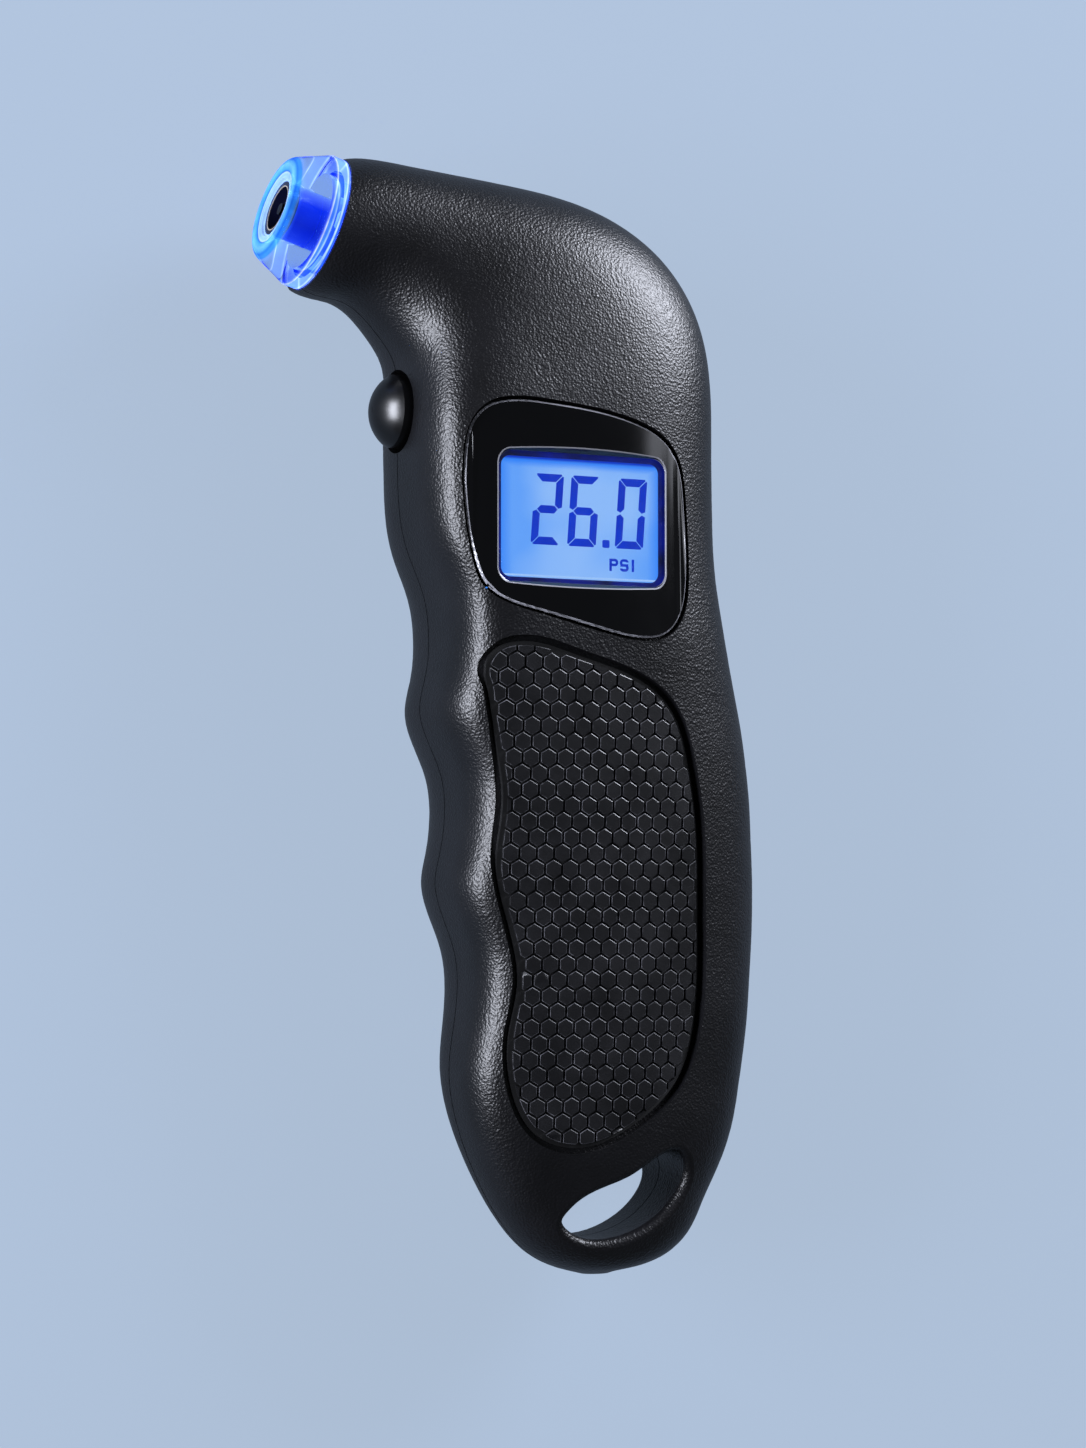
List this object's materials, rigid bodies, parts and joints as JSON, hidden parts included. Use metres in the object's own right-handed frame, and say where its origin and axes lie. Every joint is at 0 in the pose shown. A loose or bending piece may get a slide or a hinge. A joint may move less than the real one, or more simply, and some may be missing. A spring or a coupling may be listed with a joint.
{
  "type": "digital tyre pressure gauge",
  "caption": "Pistol-curved hand gauge that reads tyre pressure: lit valve nozzle at the head, backlit number display, side button, finger grips and a lanyard eye.",
  "frame": {"origin": "middle of the bounding box at the rest plane, under the flat rear of the casing", "axes": "+Z out of the display, +Y along the handle towards the head, +X to the right as seen from the front, so the button and the nozzle are on the -X side"},
  "size_m": [0.0719, 0.1497, 0.0288],
  "materials": {
    "housing": "fine leather grain",
    "grip": "satin, moulded",
    "gloss": "high gloss",
    "window": "clear, glossy",
    "lcd": "backlit blue",
    "ink_black": "flat",
    "ink_blue": "flat",
    "diffuser": "frosted",
    "white_plastic": "moulded",
    "black_rubber": "smooth",
    "board": "solder mask",
    "chip": "moulded epoxy",
    "steel": "plain",
    "black_steel": "black oxide",
    "brass": "turned",
    "lens": "clear, blue-lit",
    "black_wire": "insulation",
    "red_wire": "insulation"
  },
  "bodies": {
    "gauge": {"backlight_led": "white_plastic", "battery_door": "housing", "board_components": "chip", "board_screw_1": "steel", "board_screw_2": "steel", "circuit_board": "board", "coin_cell": "steel", "connector_strip": "black_rubber", "controller_chip": "chip", "display_bezel": "gloss", "display_window": "window", "door_screw": "black_steel", "front_grip_pad": "grip", "front_housing": "housing", "grip_studs": "grip", "housing_screw_1": "black_steel", "housing_screw_2": "black_steel", "housing_screw_3": "black_steel", "housing_screw_4": "black_steel", "housing_screw_5": "black_steel", "lcd_glass": "lcd", "lcd_mask": "ink_black", "lcd_segments": "ink_blue", "light_guide": "diffuser", "mouth_seal": "black_rubber", "negative_contact": "steel", "negative_wire": "black_wire", "nozzle_core": "brass", "nozzle_led": "lens", "nozzle_lens": "lens", "o_ring": "black_rubber", "positive_contact": "steel", "positive_wire": "red_wire", "pressure_sensor": "steel", "rear_housing": "housing", "sensor_block": "white_plastic", "sensor_cable": "black_wire", "sensor_gasket": "black_rubber", "switch_body": "steel", "valve_depressor": "brass"},
    "button": {"power_button": "gloss", "switch_plunger": "white_plastic"}
  },
  "joints": [
    {"name": "button_press", "type": "slide", "parent": "gauge", "child": "button", "axis": [1, 0, 0], "range_m": [0, 0.0005], "stiffness_N_per_m": 2500}
  ]
}
